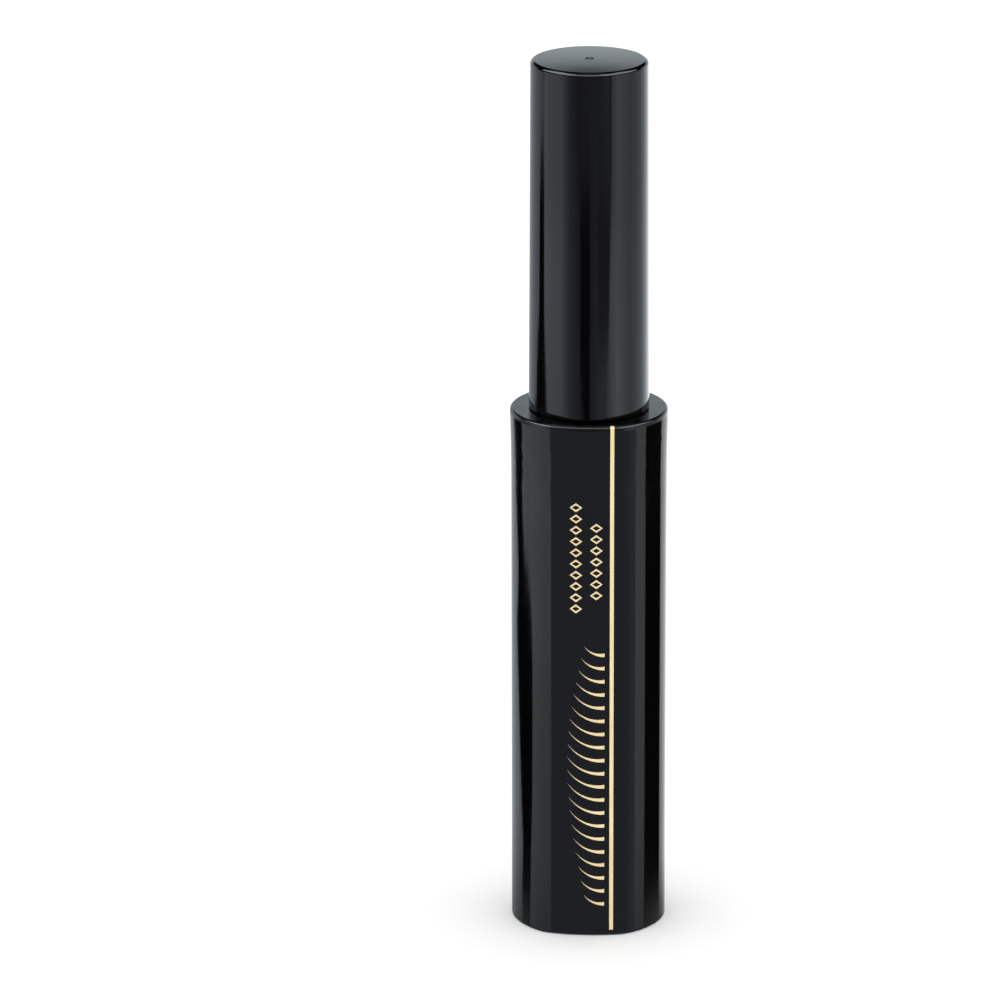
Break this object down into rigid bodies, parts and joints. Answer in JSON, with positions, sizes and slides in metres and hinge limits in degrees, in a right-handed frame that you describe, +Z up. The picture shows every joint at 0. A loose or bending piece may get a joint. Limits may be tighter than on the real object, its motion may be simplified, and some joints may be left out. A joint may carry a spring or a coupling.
{
  "type": "mascara tube",
  "caption": "Round mascara tube with bowed front and back panels, a screw cap that carries the wand and twisted-wire brush, and a wiper in the threaded neck.",
  "frame": {"origin": "middle of the tube's underside, on the tube's axis, at the height of the foot ring", "axes": "+Z up along the tube's axis towards the cap, -Y towards the front panel with the gold foil, +X to the right of that panel"},
  "size_m": [0.0202, 0.0188, 0.1142],
  "materials": {
    "sleeve_plastic": "polished black moulding, very faint flow marks",
    "bottle_plastic": "polished black moulding, slightly softer gloss on the neck",
    "cap_plastic": "polished black moulding with fine handling scratches and a gate mark on top",
    "inner_cap_plastic": "fine satin black moulding",
    "wand_plastic": "matte black moulding with faint drag lines",
    "wiper_rubber": "soft dark elastomer",
    "liner_foam": "pale closed-cell polyethylene foam",
    "wire_steel": "bright drawn steel wire",
    "bristle_nylon": "black nylon filaments with a faint sheen",
    "mascara": "wet black wax paste",
    "gold_foil": "pale champagne hot-stamped foil"
  },
  "bodies": {
    "bottle_body": {"outer_sleeve": "sleeve_plastic", "bottle": "bottle_plastic", "wiper": "wiper_rubber", "mascara_paste": "mascara", "gold_foil": "gold_foil"},
    "seal": {"cap_liner": "liner_foam"},
    "applicator": {"cap_shell": "cap_plastic", "inner_cap": "inner_cap_plastic", "wand_stem": "wand_plastic", "brush_wire": "wire_steel", "bristles": "bristle_nylon"}
  },
  "joints": [
    {"name": "cap_lift", "type": "slide", "parent": "bottle_body", "child": "seal", "axis": [0, 0, 1], "range_m": [0, 0.09], "deforming": ["bristles"]},
    {"name": "cap_turn", "type": "hinge", "parent": "seal", "child": "applicator", "pos_m": [0, 0, 0.0813], "axis": [0, 0, 1], "range_deg": [0, 450]}
  ]
}
